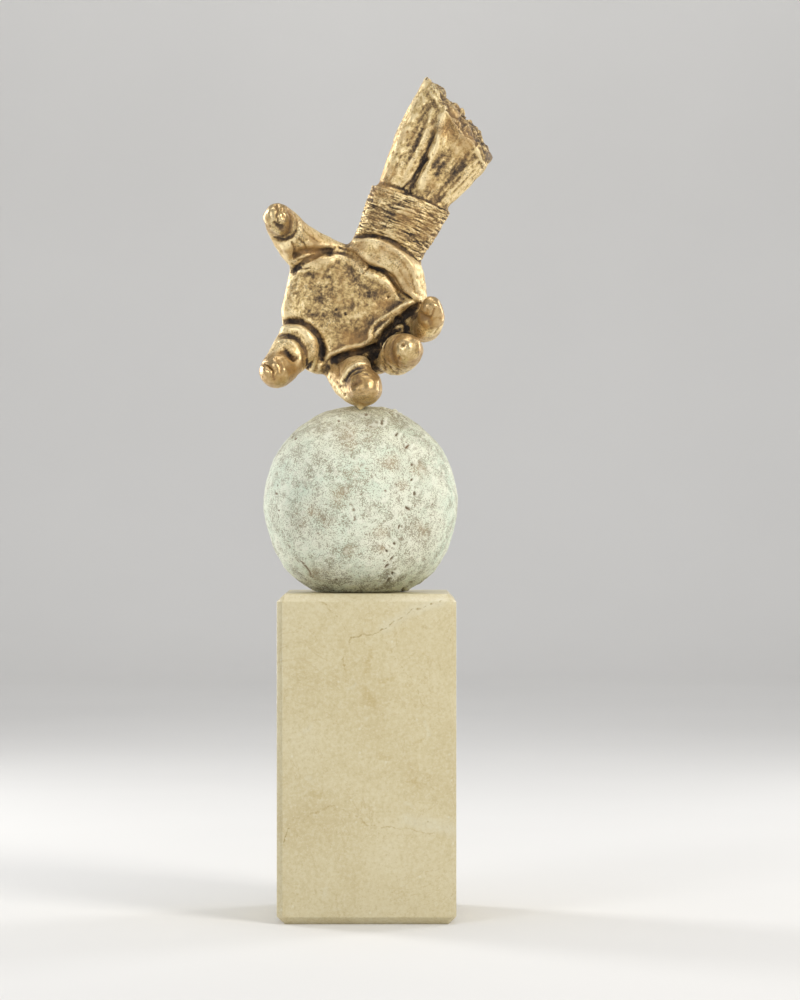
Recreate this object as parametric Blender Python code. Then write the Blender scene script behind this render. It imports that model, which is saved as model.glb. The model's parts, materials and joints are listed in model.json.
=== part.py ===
"""A trophy: a cast bronze hand stands on one fingertip on a stitched ball, on a marble block.

The frame is in metres, +Z up and +X to the right. The palm faces -Y.
The origin is the centre of the marble block's underside.
"""
import math

import bmesh
import bpy
import numpy as np
from mathutils import Matrix, Vector, noise

TOUCH_GAP = 0.0003

# Marble block
BLOCK_WIDTH = 0.080
BLOCK_DEPTH = 0.080
BLOCK_HEIGHT = 0.147
UPRIGHT_CHAMFER = 0.0026
RIM_CHAMFER = 0.0034

# Stitched ball, flattened where it stands on the block
BALL_RADIUS = 0.0443
BALL_FLAT_RADIUS = 0.0180
BALL_FOOT_SPREAD = 0.0026
BALL_SHIFT_X = -0.0030
PANELS = 4
SEAM_TURN = math.radians(30)
BALL_TILT = math.radians(15)
SEAM_DEPTH = 0.0009
SEAM_LIP = 0.0004
COLUMNS_PER_PANEL = 12
RINGS = 22

# Bronze hand, from the peg's foot to the torn end of the forearm
HAND_HEIGHT = 0.154
PEG_LEAN = math.radians(20)
PEG_RADIUS = HAND_HEIGHT * 0.008
PEG_HEIGHT = HAND_HEIGHT * 0.05
CLAY_GRAIN = HAND_HEIGHT * 0.0058
HAND_TRIANGLES = 7400

# The hand was drawn at this height, and its own sizes below are millimetres at it
DRAWN_HEIGHT = 154.0
HAND_UNIT = HAND_HEIGHT / DRAWN_HEIGHT

FRONT = Vector((0, -1, 0))
BACK = Vector((0, 1, 0))

# Each station of a limb is x, y, z, half its width and half its depth
FOREARM = [
    (18, 23.5, 88, 16.0, 10.4), (24, 23.5, 100, 16.8, 10.6), (30.2, 23.5, 110.3, 19.8, 11),
    (37.4, 23.5, 121.6, 22.4, 11.8), (47.2, 24, 135.4, 24.6, 12.8), (56, 24, 147, 26, 13.4),
]
TEAR_POINT = (46, 24, 135.2)
TEAR_NORMAL = (0.75, -0.22, 0.62)
WRAP = [
    (4, 24, 58, 18, 11), (12.6, 23.5, 75.6, 16.4, 11.8), (18, 23.5, 87, 18.0, 12.5), (28, 23.5, 108, 19.6, 12.8),
]
RIM_POINT = (22.8, 23.5, 97.6)
RIM_NORMAL = (0.337, 0.02, 0.942)
HEEL = [
    (0, 21, 70, 8, 9), (8, 19, 71, 9, 10), (17, 19, 67, 10, 10), (22.4, 20, 58, 7.6, 9), (23, 22, 50, 7, 8),
]
THUMB = [
    (-8, 24, 63, 13, 10), (-17, 23, 68.2, 11.8, 10), (-25.4, 19, 73.6, 10.6, 9.5),
    (-30.8, 13, 78.6, 9.2, 8.6), (-35, 6, 83.8, 8.2, 7.8), (-37.1, 1, 87, 6.8, 6.8),
]
INDEX = [
    (-16, 26, 46, 13, 11), (-21, 25, 38, 12.4, 11), (-28, 20.5, 31, 10.6, 10.4),
    (-32.2, 14.5, 25.6, 9.6, 9.4), (-35.6, 8, 20.6, 8.6, 8.6), (-38, 2.5, 17.4, 7.9, 7.9),
]
MIDDLE = [
    (-5, 30, 38, 8.5, 8.5), (-7, 28, 24, 9.4, 8.8), (-6, 20, 16, 9.4, 9), (-1.6, 10, 11.4, 9.2, 9.2),
    (1.4, 1, 10.0, 8.7, 8.7), (2, -4, 10.1, 7.6, 7.6),
]
MIDDLE_JOINT = [
    (-5, 24, 22, 8, 6.4), (-3.4, 15, 19.4, 7.8, 6), (-2.2, 7, 18, 7.4, 6), (-1, 1, 15, 6.4, 6),
]
RING = [
    (8, 30, 42, 8.5, 8.5), (12, 28, 31, 8.6, 8.6), (15, 20, 25.8, 9.6, 9.6), (18, 9, 25.8, 9, 9),
    (20.2, -1, 26.6, 8.3, 8.3), (21, -6, 27.2, 7, 7),
]
LITTLE = [
    (19, 30, 55, 8, 8), (25, 27, 44.5, 7.2, 7.2), (28.5, 20, 37.8, 6.6, 6.6), (31, 11, 38.8, 6.3, 6.3),
    (32.2, 4, 42.8, 6.2, 6.2), (32.2, 0, 46.5, 5, 5),
]
KNUCKLES = [
    (-22, 26, 28, 8.5, 9), (-5, 27, 26, 9, 8.5), (9, 27, 27, 9.5, 8.5), (18.5, 26.5, 37, 9, 8.5),
    (21, 26, 50, 8, 8),
]
LIMBS = [HEEL, KNUCKLES, THUMB, INDEX, MIDDLE, MIDDLE_JOINT, RING, LITTLE]

# Outline of the palm from the wrist round by the little finger, as x and z
PALM_OUTLINE = [
    (-7, 75), (4, 77), (19, 75), (27, 69), (27.6, 62), (27.4, 54), (28, 47), (22, 37), (15, 30),
    (5, 24.5), (-7, 19.5), (-16, 17), (-25, 18.5), (-33, 31), (-36.6, 43), (-35.4, 53), (-33, 62),
    (-31, 69), (-20, 73),
]
PALM_CENTRE = (-3, 23.5, 50)
PALM_FRONT = 10.0
PALM_BACK = 12.5

# Lines pressed into the skin or raised on it: x and z along each, its half width and its rise.
# Only skin between the two depths is moved. The first list is seen from the front.
FRONT_LINES = [
    ("pad_edge", [(-32, 63), (-17, 70.5), (-9, 73), (1.5, 66.5), (13, 61), (18, 54.5), (26, 48)],
     1.5, -2.2, 0, 30),
    ("pad_rim", [(-16, 68), (-9, 70), (0, 63.8), (11.5, 58.2), (16, 51.5), (23, 46.5)], 1.7, 0.7, 0, 30),
    ("heel_rim", [(-2, 77.5), (8, 76.5), (18, 71), (24, 64), (26, 54.5)], 2.0, 1.1, 0, 30),
    ("wrap_end", [(-3.5, 80), (9, 79.5), (18, 75), (28, 67.5)], 1.2, -1.3, 0, 30),
    ("pad_lip", [(-18, 20.5), (-12.5, 25.5), (2.5, 30.5), (12, 40.5), (24, 50)], 1.8, 1.5, 0, 30),
    ("recess", [(5.5, 25.5), (9, 31), (12.5, 36), (18, 40.5), (25, 46.5)], 1.9, -3.0, 9, 34),
    ("pad_shadow", [(-12, 22.6), (-6, 25.4), (1, 26.8), (6.5, 29)], 1.3, -2.2, 3, 34),
    ("index_groove", [(-38, 41), (-28, 40.5), (-20.5, 36), (-17.5, 30), (-17.5, 22)], 1.5, -2.3, 0, 30),
    ("index_band", [(-37, 38), (-27.5, 37), (-21.5, 31), (-20.5, 22)], 1.8, 1.4, 0, 30),
    ("index_fold", [(-40, 34), (-30, 33.5), (-25.5, 28), (-25, 20)], 1.2, -1.9, 0, 30),
    ("index_pit", [(-34, 27), (-30, 24)], 1.5, -2.0, 0, 30),
    ("index_tip", [(-43, 20.5), (-38.5, 17)], 1.1, -1.3, -20, 30),
    ("thumb_ring", [(-31.5, 91), (-29.5, 85.5), (-31.5, 79.5), (-37, 76.5), (-43, 77)],
     1.6, -2.2, -20, 30),
    ("thumb_hollow", [(-30, 69.5), (-23.5, 72), (-15, 73.5)], 2.2, -2.4, 0, 30),
    ("middle_crest", [(-8.5, 13), (-5, 19), (1, 21.3), (6, 20), (9, 14.5)], 1.2, 1.0, -20, 12),
    ("ring_cuff", [(15, 37), (11, 32.5), (11, 26.5), (13, 20.5), (18, 17)], 1.4, -2.0, 0, 30),
    ("ring_fold", [(16.5, 33.5), (14, 28.5), (14.5, 23), (17, 19)], 1.0, -1.2, -20, 12),
    ("little_fold", [(27.5, 42), (31.5, 40), (36, 41.5)], 1.0, -1.2, -20, 12),
    ("arm_crease", [(21, 100), (26, 108), (29.5, 115.5), (34, 125)], 1.9, -3.0, 0, 30),
    ("arm_ridge", [(28.5, 104), (32, 113), (36, 122), (37, 133)], 2.6, 1.7, 0, 30),
    ("arm_flute", [(18.5, 101.5), (22, 112), (26, 123.5), (30, 138)], 2.8, -0.7, 0, 30),
    ("arm_side_flute", [(36, 98), (41.5, 106), (46.5, 114.5), (51, 120)], 2.6, -1.0, 0, 30),
    ("arm_side_ridge", [(39, 95), (46.5, 104.5), (55, 113.5)], 2.2, 1.0, 0, 30),
    ("torn_lip", [(33, 146), (40, 133.5), (50, 120), (58, 112)], 1.6, 1.0, 0, 30),
]
BACK_LINES = [
    ("wrap_end", [(-6, 78), (9, 77), (28, 67)], 1.2, -1.0, 15, 50),
    ("index_knuckle", [(-25, 41), (-23, 39)], 5.0, 1.8, 15, 50),
    ("middle_knuckle", [(-7, 38), (-6, 37)], 5.0, 2.2, 15, 50),
    ("ring_knuckle", [(9, 41), (10, 40)], 4.6, 1.8, 15, 50),
    ("little_knuckle", [(20, 51), (21, 50)], 4.2, 1.5, 15, 50),
    ("index_tendon", [(-23, 42), (-9, 60), (6, 76)], 2.0, 1.1, 15, 50),
    ("middle_tendon", [(-6, 40), (3, 58), (11, 75)], 2.0, 1.1, 15, 50),
    ("ring_tendon", [(10, 43), (13, 58), (16, 74)], 2.0, 1.0, 15, 50),
    ("arm_flute", [(24, 102), (34, 118), (42, 136)], 3.4, -1.6, 15, 50),
    ("arm_ridge", [(32, 99), (44, 114), (54, 128)], 3.0, 1.0, 15, 50),
]
TEAR_LUMP = 5.5
TEAR_DEPTH = 2.2


def named_material(name, colour, metallic, roughness):
    material = bpy.data.materials.new(name)
    material.use_nodes = True
    shader = material.node_tree.nodes["Principled BSDF"]
    shader.inputs["Base Color"].default_value = (*colour, 1)
    shader.inputs["Metallic"].default_value = metallic
    shader.inputs["Roughness"].default_value = roughness
    return material


def add_object(name, mesh, material, smooth_angle):
    mesh.materials.append(material)
    mesh.shade_smooth()
    mesh.set_sharp_from_angle(angle=math.radians(smooth_angle))
    piece = bpy.data.objects.new(name, mesh)
    bpy.context.scene.collection.objects.link(piece)
    return piece


def mesh_of(shape, name):
    mesh = bpy.data.meshes.new(name)
    bmesh.ops.recalc_face_normals(shape, faces=shape.faces)
    shape.to_mesh(mesh)
    shape.free()
    return mesh


# Marble block

def make_block(material):
    shape = bmesh.new()
    bmesh.ops.create_cube(shape, size=1)
    bmesh.ops.scale(shape, vec=(BLOCK_WIDTH, BLOCK_DEPTH, BLOCK_HEIGHT), verts=shape.verts)
    bmesh.ops.translate(shape, vec=(0, 0, BLOCK_HEIGHT / 2), verts=shape.verts)
    upright = [e for e in shape.edges if abs(e.verts[0].co.z - e.verts[1].co.z) > BLOCK_HEIGHT / 2]
    bmesh.ops.bevel(shape, geom=upright, offset=UPRIGHT_CHAMFER, segments=1, affect="EDGES")
    rims = [e for e in shape.edges if abs(e.verts[0].co.z - e.verts[1].co.z) < BLOCK_HEIGHT / 2]
    bmesh.ops.bevel(shape, geom=rims, offset=RIM_CHAMFER, segments=1, affect="EDGES")
    return add_object("marble_block", mesh_of(shape, "marble_block"), material, 20)


# Stitched ball

def ball_seat_depth():
    return math.sqrt(BALL_RADIUS**2 - BALL_FLAT_RADIUS**2)


def ball_centre():
    return Vector((BALL_SHIFT_X, 0, BLOCK_HEIGHT + TOUCH_GAP + ball_seat_depth()))


def seam_angle(column):
    """Longitude of a column of the ball: the columns crowd together at each seam."""
    panel = 2 * math.pi / PANELS
    seam, step = divmod(column + COLUMNS_PER_PANEL / 2, COLUMNS_PER_PANEL)
    share = step / (COLUMNS_PER_PANEL / 2) - 1
    return seam * panel + math.copysign(abs(share) ** 1.6, share) * panel / 2


def make_ball(material):
    columns = PANELS * COLUMNS_PER_PANEL
    shape = bmesh.new()
    bmesh.ops.create_uvsphere(shape, u_segments=columns, v_segments=RINGS, radius=BALL_RADIUS)
    for vert in shape.verts:
        flat = math.hypot(vert.co.x, vert.co.y)
        if flat < BALL_RADIUS * 0.01:
            continue
        column = round(math.atan2(vert.co.y, vert.co.x) / (2 * math.pi) * columns) % columns
        from_seam = (column + COLUMNS_PER_PANEL // 2) % COLUMNS_PER_PANEL - COLUMNS_PER_PANEL // 2
        rise = {0: -SEAM_DEPTH, 1: SEAM_LIP}.get(abs(from_seam), 0)
        turn = seam_angle(column) + SEAM_TURN - math.pi / 2
        grow = 1 + rise * min(1, flat / BALL_RADIUS * 3) / BALL_RADIUS
        vert.co = Vector((math.cos(turn) * flat, math.sin(turn) * flat, vert.co.z)) * grow
    bmesh.ops.rotate(shape, cent=(0, 0, 0), matrix=Matrix.Rotation(-BALL_TILT, 3, "X"), verts=shape.verts)
    seat = ball_seat_depth()
    bmesh.ops.bisect_plane(shape, geom=shape.verts[:] + shape.edges[:] + shape.faces[:],
                           plane_co=(0, 0, -seat), plane_no=(0, 0, 1), clear_inner=True)
    rim = [e for e in shape.edges if e.is_boundary]
    bmesh.ops.contextual_create(shape, geom=rim)
    for vert in shape.verts:
        low = max(0, -vert.co.z / seat)
        spread = 1 + BALL_FOOT_SPREAD / BALL_FLAT_RADIUS * low**3
        vert.co.x *= spread
        vert.co.y *= spread
    piece = add_object("ball", mesh_of(shape, "ball"), material, 60)
    piece.location = ball_centre()
    return piece


# Bronze hand

def along(points, share):
    """A smooth curve through the points, read at share of its way, as a Catmull-Rom spline."""
    place = min(max(share, 0), 1) * (len(points) - 1)
    start = min(int(place), len(points) - 2)
    t = place - start
    a, b, c, d = (points[min(max(start + i, 0), len(points) - 1)] for i in (-1, 0, 1, 2))
    return 0.5 * (2 * b + (c - a) * t + (2 * a - 5 * b + 4 * c - d) * t**2
                  + (3 * b - a - 3 * c + d) * t**3)


def closed_form(shape, rings):
    """Bridges the rings in order into one closed form, with a face over each end."""
    loops = []
    for number, ring in enumerate(rings):
        capped = number in (0, len(rings) - 1)
        loop = bmesh.ops.create_circle(shape, segments=len(ring), radius=1, cap_ends=capped)["verts"]
        for vert, point in zip(loop, ring):
            vert.co = point
        loops.append([vert.link_edges[0] for vert in loop] + [vert.link_edges[1] for vert in loop])
    for low, high in zip(loops, loops[1:]):
        bmesh.ops.bridge_loops(shape, edges=list(set(low + high)))


def add_limb(shape, stations, sides=20, steps=5):
    """A limb of oval sections along a curve, with both ends rounded."""
    sizes = [np.array(station, float) for station in stations]
    samples = [along(sizes, i / (steps * (len(sizes) - 1))) for i in range(steps * (len(sizes) - 1) + 1)]
    centres = [Vector(s[:3]) for s in samples]
    halves = [(s[3], s[4]) for s in samples]
    for end, inward in ((0, 1), (-1, -2)):
        outward = (centres[end] - centres[inward]).normalized()
        wide, deep = halves[end]
        rest = centres[end].copy()
        for bow in (0.45, 0.8, 0.97):
            cap = rest + outward * bow * min(wide, deep)
            size = math.sqrt(1 - bow**2)
            position = 0 if end == 0 else len(centres)
            centres.insert(position, cap)
            halves.insert(position, (wide * size, deep * size))
    rings = []
    side = None
    for i, centre in enumerate(centres):
        ahead = centres[min(i + 1, len(centres) - 1)] - centres[max(i - 1, 0)]
        ahead.normalize()
        if side is None:
            side = ahead.cross(BACK)
            side = side if side.length > 0.2 else ahead.cross(Vector((0, 0, 1)))
        side = (side - ahead * side.dot(ahead)).normalized()
        depth = side.cross(ahead)
        wide, deep = halves[i]
        turns = [2 * math.pi * n / sides for n in range(sides)]
        rings.append([centre + side * wide * math.cos(a) + depth * deep * math.sin(a) for a in turns])
    closed_form(shape, rings)


def add_palm(shape, layers=12, steps=3):
    """The palm: its outline, drawn in towards the middle near the front and the back."""
    corners = [Vector((x, 0, z)) for x, z in PALM_OUTLINE]
    loop = corners[-1:] + corners + corners[:2]
    outline = []
    for i in range(len(corners)):
        for step in range(steps):
            outline.append(along(loop[i:i + 4], (1 + step / steps) / 3))
    middle = Vector(PALM_CENTRE)
    flat_middle = Vector((middle.x, 0, middle.z))
    rings = []
    for layer in range(layers + 1):
        lean = -0.985 + 1.97 * layer / layers
        depth = PALM_FRONT if lean < 0 else PALM_BACK
        size = (1 - abs(lean) ** 2.6) ** (1 / 2.6)
        rings.append([middle + BACK * lean * depth + (p - flat_middle) * size for p in outline])
    closed_form(shape, rings)


def add_cut_limb(shape, stations, point, normal):
    """A limb cut off flat at its last end."""
    limb = bmesh.new()
    add_limb(limb, stations, sides=28)
    bmesh.ops.bisect_plane(limb, geom=limb.verts[:] + limb.edges[:] + limb.faces[:],
                           plane_co=point, plane_no=normal, clear_outer=True)
    bmesh.ops.contextual_create(limb, geom=[e for e in limb.edges if e.is_boundary])
    part = bpy.data.meshes.new("limb")
    limb.to_mesh(part)
    limb.free()
    shape.from_mesh(part)
    bpy.data.meshes.remove(part)


def one_skin(shape):
    """The overlapping masses as one closed skin, like clay pressed together."""
    bmesh.ops.scale(shape, vec=(HAND_UNIT,) * 3, verts=shape.verts)
    lumps = bpy.data.objects.new("lumps", mesh_of(shape, "lumps"))
    bpy.context.scene.collection.objects.link(lumps)
    remesh = lumps.modifiers.new("one_skin", "REMESH")
    remesh.mode = "VOXEL"
    remesh.voxel_size = CLAY_GRAIN
    ease = lumps.modifiers.new("ease", "SMOOTH")
    ease.factor = 0.5
    ease.iterations = 5
    evaluated = lumps.evaluated_get(bpy.context.evaluated_depsgraph_get())
    skin = bpy.data.meshes.new_from_object(evaluated)
    bpy.data.objects.remove(lumps)
    return skin


def press_line(points, normals, line, side):
    """Sinks or raises the skin along one line, seen from the front or from the back."""
    places, width, rise, near, far = line[1:]
    curve = np.array([along([np.array(p, float) for p in places], i / 24) for i in range(25)])
    step = np.diff(curve, axis=0)
    flat = points[:, None, [0, 2]] - curve[:-1]
    share = np.clip((flat * step).sum(2) / (step**2).sum(1), 0, 1)
    away = np.linalg.norm(flat - share[..., None] * step, axis=2).min(1)
    facing = np.clip(normals @ np.array(side) * 2, 0, 1)
    facing = facing * (points[:, 1] > near) * (points[:, 1] < far)
    return points + normals * (rise * facing * np.exp(-((away / width) ** 2)))[:, None]


def tear_end(points):
    """Breaks up the flat end of the forearm into lumps."""
    normal = np.array(Vector(TEAR_NORMAL).normalized())
    inside = (np.array(TEAR_POINT) - points) @ normal
    for i in np.flatnonzero(inside < 4):
        spot = Vector(points[i]) / TEAR_LUMP
        lump = noise.noise(spot) + 0.6 * noise.noise(spot * 2.3)
        points[i] += normal * TEAR_DEPTH * (lump - 0.1) * (1 - max(0, inside[i]) / 4)
    return points


def carve_skin(skin):
    """Works the folds, ridges and breaks into the skin."""
    count = len(skin.vertices)
    points = np.empty(count * 3)
    skin.vertices.foreach_get("co", points)
    points = points.reshape(-1, 3) / HAND_UNIT
    for lines, side in ((FRONT_LINES, FRONT), (BACK_LINES, BACK)):
        for line in lines:
            normals = np.empty(count * 3)
            skin.vertices.foreach_get("normal", normals)
            points = press_line(points, normals.reshape(-1, 3), line, side)
            skin.vertices.foreach_set("co", (points * HAND_UNIT).ravel())
    points = tear_end(points)
    skin.vertices.foreach_set("co", (points * HAND_UNIT).ravel())
    skin.update()


def make_peg(up, depth):
    """The little peg at the fingertip, as a cone from the ball up into the finger."""
    shape = bmesh.new()
    bmesh.ops.create_cone(shape, cap_ends=True, segments=16, radius1=PEG_RADIUS, radius2=PEG_RADIUS * 2.7,
                          depth=depth)
    bmesh.ops.translate(shape, vec=(0, 0, depth / 2), verts=shape.verts)
    bmesh.ops.rotate(shape, cent=(0, 0, 0), matrix=Vector((0, 0, 1)).rotation_difference(up).to_matrix(),
                     verts=shape.verts)
    peg = bpy.data.objects.new("peg_guide", mesh_of(shape, "peg_guide"))
    bpy.context.scene.collection.objects.link(peg)
    peg.hide_render = True
    peg.display_type = "WIRE"
    return peg


def make_hand(material):
    shape = bmesh.new()
    for stations in LIMBS:
        add_limb(shape, stations)
    add_palm(shape)
    add_cut_limb(shape, WRAP, RIM_POINT, RIM_NORMAL)
    add_cut_limb(shape, FOREARM, TEAR_POINT, TEAR_NORMAL)
    skin = one_skin(shape)
    skin.name = "hand"
    carve_skin(skin)
    piece = add_object("hand", skin, material, 60)
    thin = piece.modifiers.new("fewer_faces", "DECIMATE")
    thin.ratio = min(1, HAND_TRIANGLES / (2 * len(skin.polygons)))
    thin.use_collapse_triangulate = True
    up = Matrix.Rotation(PEG_LEAN, 3, "X") @ Vector((0, 0, 1))
    peg = make_peg(up, PEG_HEIGHT)
    join = piece.modifiers.new("peg_joined", "BOOLEAN")
    join.operation = "UNION"
    join.solver = "EXACT"
    join.object = peg
    piece.location = peg.location = ball_centre() + up * (BALL_RADIUS + TOUCH_GAP)
    return piece


def main():
    for old in list(bpy.data.objects):
        bpy.data.objects.remove(old)
    make_block(named_material("cream_marble", (0.66, 0.57, 0.37), 0.0, 0.25))
    make_ball(named_material("green_patina", (0.62, 0.68, 0.57), 0.1, 0.75))
    make_hand(named_material("polished_bronze", (0.50, 0.34, 0.15), 1.0, 0.35))


main()
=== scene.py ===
import functools
import json
import math
import random

import bmesh
import bpy
import numpy as np
from mathutils import Matrix, Vector, noise

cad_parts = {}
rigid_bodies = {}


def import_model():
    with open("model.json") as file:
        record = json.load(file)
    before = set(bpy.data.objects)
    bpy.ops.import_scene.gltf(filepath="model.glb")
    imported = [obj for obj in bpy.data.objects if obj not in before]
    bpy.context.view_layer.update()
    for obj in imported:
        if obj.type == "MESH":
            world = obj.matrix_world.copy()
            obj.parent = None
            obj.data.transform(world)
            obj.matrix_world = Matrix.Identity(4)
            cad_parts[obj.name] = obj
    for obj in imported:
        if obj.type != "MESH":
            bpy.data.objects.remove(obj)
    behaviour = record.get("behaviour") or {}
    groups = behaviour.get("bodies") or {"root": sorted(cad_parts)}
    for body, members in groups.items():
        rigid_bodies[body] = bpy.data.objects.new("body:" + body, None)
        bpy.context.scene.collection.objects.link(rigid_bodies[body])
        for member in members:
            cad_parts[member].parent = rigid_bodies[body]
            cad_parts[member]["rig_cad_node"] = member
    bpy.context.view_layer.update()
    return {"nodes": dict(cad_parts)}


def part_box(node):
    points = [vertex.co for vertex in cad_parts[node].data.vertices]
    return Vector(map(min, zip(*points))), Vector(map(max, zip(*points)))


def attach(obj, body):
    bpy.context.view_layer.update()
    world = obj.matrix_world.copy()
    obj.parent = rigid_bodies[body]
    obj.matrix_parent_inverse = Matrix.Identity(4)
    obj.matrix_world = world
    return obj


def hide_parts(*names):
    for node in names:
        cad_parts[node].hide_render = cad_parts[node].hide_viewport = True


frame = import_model()
mm = 0.001


# Reading and shaping a mesh

def readVectors(mesh, item):  # "co" or "normal" of every vertex, as rows of x, y and z
    values = np.empty(len(mesh.vertices) * 3, np.float32)
    mesh.vertices.foreach_get(item, values)
    return values.reshape(-1, 3).astype(float)


def writePoints(mesh, points):
    mesh.vertices.foreach_set("co", points.astype(np.float32).ravel())
    mesh.update()


def storeMask(mesh, name, values):  # one number a vertex, for the materials to read
    mask = mesh.attributes.new(name, "FLOAT", "POINT")
    mask.data.foreach_set("value", np.clip(values, 0, 1).astype(np.float32))


def noiseAt(places, size, seed=0):  # smooth noise from -1 to 1, in lumps of that size
    return np.array([noise.noise(place) for place in (places / size + seed * 17.3).tolist()])


def smoothStep(values, low, high):
    share = np.clip((values - low) / (high - low), 0, 1)
    return share * share * (3 - 2 * share)


def bell(values, power=2):  # 1 at nothing, and fading out past 1
    return np.exp(-(np.abs(values) ** power))


def frontGap(places, x, z):  # how far each place is from a spot, seen from the front
    return np.hypot(places[:, 0] - x, places[:, 2] - z)


def curveThrough(places, count=24):  # a smooth curve through a few points
    points = [np.array(place, float) for place in places]
    curve = []
    for step in range(count + 1):
        way = step / count * (len(points) - 1)
        start = min(int(way), len(points) - 2)
        t = way - start
        a, b, c, d = (points[min(max(start + i, 0), len(points) - 1)] for i in (-1, 0, 1, 2))
        curve.append(0.5 * (2 * b + (c - a) * t + (2 * a - 5 * b + 4 * c - d) * t**2
                            + (3 * b - a - 3 * c + d) * t**3))
    return np.array(curve)


def easedPoints(points, pairs, rounds):  # each vertex drawn towards its neighbours, again and again
    ends = pairs.ravel()
    others = pairs[:, ::-1].ravel()
    share = 1 / np.maximum(1, np.bincount(ends, minlength=len(points)))
    for _ in range(rounds):
        sums = [np.bincount(ends, points[others, axis], len(points)) for axis in range(3)]
        points = 0.5 * points + 0.5 * np.stack(sums, 1) * share[:, None]
    return points


def readPairs(mesh):
    pairs = np.empty(len(mesh.edges) * 2, np.int32)
    mesh.edges.foreach_get("vertices", pairs)
    return pairs.reshape(-1, 2)


def storeRelief(mesh, steps):  # over 0.5 on ridges and under it in hollows, at each size of form
    points, normals, pairs = readVectors(mesh, "co"), readVectors(mesh, "normal"), readPairs(mesh)
    for name, rounds, height in steps:
        eased = easedPoints(points, pairs, rounds)
        storeMask(mesh, name, 0.5 + 0.5 * np.tanh(((points - eased) * normals).sum(1) / height))
        points = eased


def addPiece(name, mesh, node, material, smoothAngle=60):
    mesh.materials.clear()
    mesh.materials.append(material)
    mesh.shade_smooth()
    mesh.set_sharp_from_angle(angle=math.radians(smoothAngle))
    piece = bpy.data.objects.new(name, mesh)
    bpy.context.scene.collection.objects.link(piece)
    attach(piece, "root")
    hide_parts(node)
    return piece


# Node groups and helpers for the materials

def addNode(tree, kind, inputs=None, **settings):
    made = tree.nodes.new(kind)
    made.location = (len(tree.nodes) * 180 - 2400, 0)
    for name, value in settings.items():
        setattr(made, name, value)
    for socket, value in (inputs or {}).items():
        if isinstance(value, bpy.types.NodeSocket):
            tree.links.new(value, made.inputs[socket])
        else:
            made.inputs[socket].default_value = value
    return made


def addMath(tree, operation, first, *others, clamp=False):  # more than two values are taken in turn
    for other in others or (0.0,):
        first = addNode(tree, "ShaderNodeMath", {0: first, 1: other}, operation=operation,
                        use_clamp=clamp).outputs[0]
    return first


def mathOf(tree):  # plus, minus and times
    return [functools.partial(addMath, tree, operation) for operation in ("ADD", "SUBTRACT", "MULTIPLY")]


def addVector(tree, operation, first, second=None, scale=None):
    given = ((0, first), (1, second), ("Scale", scale))
    given = {socket: value for socket, value in given if value is not None}
    made = addNode(tree, "ShaderNodeVectorMath", given, operation=operation)
    return made.outputs["Value" if operation in ("DOT_PRODUCT", "LENGTH") else "Vector"]


def addNoise(tree, place, scale, detail=3.0, roughness=0.55, warp=0.0):
    return addNode(tree, "ShaderNodeTexNoise", {"Vector": place, "Scale": scale, "Detail": detail,
                                                "Roughness": roughness, "Distortion": warp}).outputs["Fac"]


def addRange(tree, value, low, high, outLow=0.0, outHigh=1.0):
    return addNode(tree, "ShaderNodeMapRange", {"Value": value, "From Min": low, "From Max": high,
                                                "To Min": outLow, "To Max": outHigh},
                   interpolation_type="SMOOTHSTEP").outputs["Result"]


def addMix(tree, factor, first, second):
    first, second = ((*tint, 1) if isinstance(tint, tuple) else tint for tint in (first, second))
    return addNode(tree, "ShaderNodeMix", {0: factor, 6: first, 7: second}, data_type="RGBA").outputs[2]


def layColours(tree, colour, layers):  # each layer is a mask and the colour it lays over the last
    for mask, tint in layers:
        colour = addMix(tree, mask, colour, tint)
    return colour


def addRamp(tree, value, stops):  # stops are (place, colour) in order
    made = addNode(tree, "ShaderNodeValToRGB", {"Fac": value})
    ramp = made.color_ramp
    while len(ramp.elements) < len(stops):
        ramp.elements.new(1.0)
    for element, (place, colour) in zip(ramp.elements, stops):
        element.position = place
        element.color = (*colour, 1)
    return made.outputs["Color"]


def newGroup(name, vectors, floats, output):  # a node group that gives one number
    group = bpy.data.node_groups.new(name, "ShaderNodeTree")
    for socketName in vectors:
        group.interface.new_socket(socketName, in_out="INPUT", socket_type="NodeSocketVector")
    for socketName, value in floats.items():
        socket = group.interface.new_socket(socketName, in_out="INPUT", socket_type="NodeSocketFloat")
        socket.default_value = value
    group.interface.new_socket(output, in_out="OUTPUT", socket_type="NodeSocketFloat")
    given = group.nodes.new("NodeGroupInput").outputs
    return group, given, group.nodes.new("NodeGroupOutput").inputs[output]


def placeGroup(tree, group, place, values):
    return addNode(tree, "ShaderNodeGroup", {"Place": place, **values}, node_tree=group).outputs[0]


def makeSpeckleGroup():  # small specks: a few everywhere and many in patches
    group, given, out = newGroup("patchySpecks", ["Place"], {
        "Speck Scale": 900.0, "Patch Scale": 60.0, "Everywhere": 0.0, "In Patches": 0.3}, "Mask")
    plus, minus, times = mathOf(group)
    specks = addNoise(group, given["Place"], given["Speck Scale"], 2.0, 0.6)
    patches = addNoise(group, given["Place"], given["Patch Scale"], 4.0, 0.6)
    patches = times(addRange(group, patches, 0.38, 0.66), given["In Patches"])
    level = plus(patches, given["Everywhere"], specks)
    group.links.new(addRange(group, level, 0.71, 0.81), out)
    return group


def makeGrainGroup():  # fine height for a Bump node, from two sizes of noise
    group, given, out = newGroup("castGrain", ["Place"], {
        "Fine Scale": 1600.0, "Coarse Scale": 420.0, "Coarse Share": 0.5}, "Height")
    fine, coarse = (addNoise(group, given["Place"], given[name], 3.0, 0.5)
                    for name in ("Fine Scale", "Coarse Scale"))
    both = addNode(group, "ShaderNodeMix", {0: given["Coarse Share"], 2: fine, 3: coarse}, data_type="FLOAT")
    group.links.new(both.outputs[0], out)
    return group


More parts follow.
